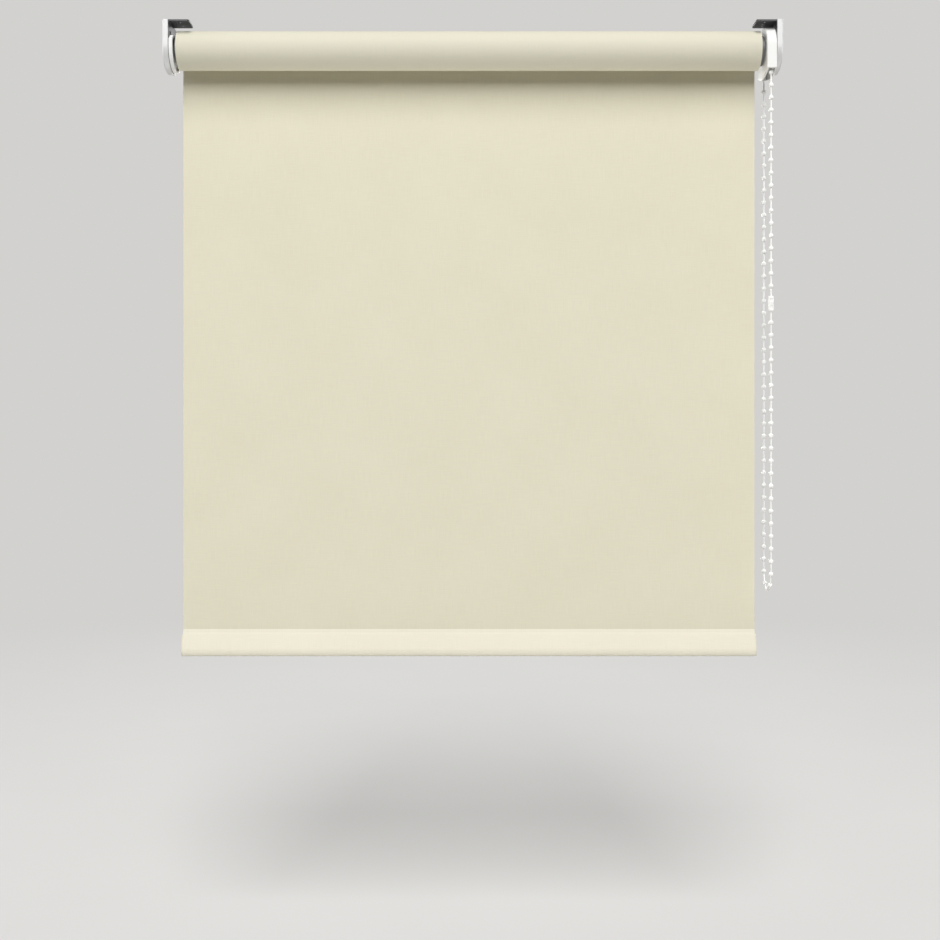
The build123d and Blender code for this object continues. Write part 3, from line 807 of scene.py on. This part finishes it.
def build_coil(name, node_name, wire, turns):
    """A coil in its node's place, wound evenly between a closed turn at each end."""
    low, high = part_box(node_name)
    radius = (high[2] - low[2] - wire) / 2
    start, length = low[0] + wire / 2, high[0] - low[0] - wire
    points = []
    for step in range(turns * COIL_STEPS + 1):
        turned = step / COIL_STEPS
        angle = 2 * pi * turned
        open_share = min(1.0, max(0.0, (turned - 1) / (turns - 2)))
        closed_turns = min(turned, 1.0) + max(turned - turns + 1, 0.0)
        x = start + wire * closed_turns + (length - 2 * wire) * open_share
        outward = Vector((0.0, cos(angle), sin(angle)))
        centre = Vector((x, axis_y, axis_z)) + outward * radius
        for k in range(COIL_WIRE_SIDES):
            round_wire = 2 * pi * k / COIL_WIRE_SIDES
            offset = outward * cos(round_wire) - Vector((1.0, 0.0, 0.0)) * sin(round_wire)
            points.append(centre + offset * wire / 2)
    faces = tube_faces(0, turns * COIL_STEPS, COIL_WIRE_SIDES)
    coil = mesh_object(name, points, faces, [spring_steel])
    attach(coil, "roller")
    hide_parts(node_name)
    return coil


build_coil("brake_coil", "clutch_spring", BRAKE_WIRE, BRAKE_TURNS)
pin_coil = build_coil("pin_coil", "idle_pin_spring", PIN_WIRE, PIN_TURNS)
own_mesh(pin_coil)
roll = build_roll()
sheet = build_sheet()
hem = build_hem()
strand, strand_line = build_cord()
beads = build_beads(strand_line)
coupler = build_connector()
for piece, node_name in ((strand, "chain_cord"), (beads, "chain_beads"), (coupler, "chain_connector")):
    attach(piece, "mounting")
    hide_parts(node_name)

# Floor, lights, world and camera

FLOOR_Z = -0.9
FLOOR_RADIUS = 14.0
FLOOR_SIDES = 96
FLOOR_PATCHES_PER_METRE = 3.0
FADE_START, FADE_END = 0.8, 3.2
NEAR_GLOW = 0.4
BACKGROUND = linear(210, 209, 207)
FILL = (1.0, 0.99, 0.97, 1.0)
FILL_STRENGTH = 0.04
MIDDLE = (0.0, 0.0, -0.3)
ROLL_UNDERSIDE = (0.0, 0.0, -0.02)


def build_floor():
    """A pale floor that fades into the background further out and keeps the object's shadow."""
    made, tree, shader = new_material("studio_floor", {"Roughness": 0.9, "Specular IOR Level": 0.1})
    place = add(tree, "ShaderNodeTexCoord").outputs["Object"]
    mottled = between(tree, grain(tree, place, FLOOR_PATCHES_PER_METRE), 0.0, 1.0)
    direct = seen_directly(tree)
    pale = tinted(tree, mottled, linear(224, 223, 221), linear(227, 226, 224))
    tree.links.new(tinted(tree, direct, linear(108, 107, 105), pale), shader.inputs["Base Color"])
    distance = add(tree, "ShaderNodeVectorMath", {0: place}, operation="LENGTH").outputs["Value"]
    far = add(
        tree,
        "ShaderNodeMapRange",
        {"Value": distance, "From Min": FADE_START, "From Max": FADE_END, "To Min": NEAR_GLOW},
        interpolation_type="SMOOTHSTEP",
    ).outputs["Result"]
    glow = add(tree, "ShaderNodeEmission", {"Color": BACKGROUND, "Strength": 1.0}).outputs[0]
    share = maths(tree, "MULTIPLY", direct, far)
    mixed = add(tree, "ShaderNodeMixShader", {0: share, 1: shader.outputs[0], 2: glow}).outputs[0]
    tree.links.new(mixed, tree.nodes["Material Output"].inputs["Surface"])
    turns = [2 * pi * k / FLOOR_SIDES for k in range(FLOOR_SIDES)]
    points = [(0.0, 0.0, 0.0)]
    points += [(FLOOR_RADIUS * cos(turn), FLOOR_RADIUS * sin(turn), 0.0) for turn in turns]
    faces = [(0, 1 + k, 1 + (k + 1) % FLOOR_SIDES) for k in range(FLOOR_SIDES)]
    floor = mesh_object("studio_floor", points, faces, [made])
    floor.location = (0.0, 0.0, FLOOR_Z)
    # The lamp below shines up through the floor
    floor.visible_shadow = False


def build_light(name, target, *, azimuth, elevation, distance, size, power):
    """A soft rectangular lamp, seen from its target at an azimuth round from -Y and at an elevation."""
    lamp = bpy.data.lights.new(name, "AREA")
    lamp.shape = "RECTANGLE"
    lamp.size, lamp.size_y = size
    lamp.energy = power
    made = bpy.data.objects.new(name, lamp)
    a, e = radians(azimuth), radians(elevation)
    back = Vector((sin(a) * cos(e), -cos(a) * cos(e), sin(e)))
    made.location = Vector(target) + back * distance
    made.rotation_mode = "QUATERNION"
    made.rotation_quaternion = (-back).to_track_quat("-Z", "Y")
    made.visible_camera = False
    bpy.context.scene.collection.objects.link(made)


def build_world():
    """A pale background for what is seen directly, and a faint even light for everything else."""
    world = bpy.data.worlds.new("studio")
    bpy.context.scene.world = world
    world.use_nodes = True
    tree = world.node_tree
    tree.nodes.clear()
    fill = add(tree, "ShaderNodeBackground", {"Color": FILL, "Strength": FILL_STRENGTH}).outputs[0]
    shown = add(tree, "ShaderNodeBackground", {"Color": BACKGROUND, "Strength": 1.0}).outputs[0]
    mixed = add(tree, "ShaderNodeMixShader", {0: seen_directly(tree), 1: fill, 2: shown}).outputs[0]
    add(tree, "ShaderNodeOutputWorld", {"Surface": mixed})


def build_camera():
    """The camera at the place the photograph was taken from."""
    data = bpy.data.cameras.new("photo_view")
    data.sensor_width = 36.0
    data.lens = CAMERA_LENS
    camera = bpy.data.objects.new("photo_view", data)
    camera.location = CAMERA_PLACE
    camera.rotation_euler = (radians(90.0), 0.0, 0.0)
    bpy.context.scene.collection.objects.link(camera)
    bpy.context.scene.camera = camera


build_floor()
build_world()
build_light("key", MIDDLE, azimuth=-1.0, elevation=39.0, distance=7.5, size=(2.6, 5.8), power=645.0)
build_light("under", ROLL_UNDERSIDE, azimuth=0.0, elevation=-84, distance=4.1, size=(2.6, 1.2), power=74.0)
build_light("rear", MIDDLE, azimuth=180.0, elevation=9.0, distance=6.0, size=(2.2, 2.0), power=240.0)
for side in (-90.0, 90.0):
    build_light("side", MIDDLE, azimuth=side, elevation=12.0, distance=3.6, size=(2.0, 2.0), power=45.0)
build_camera()
bpy.context.scene.view_settings.view_transform = "Standard"
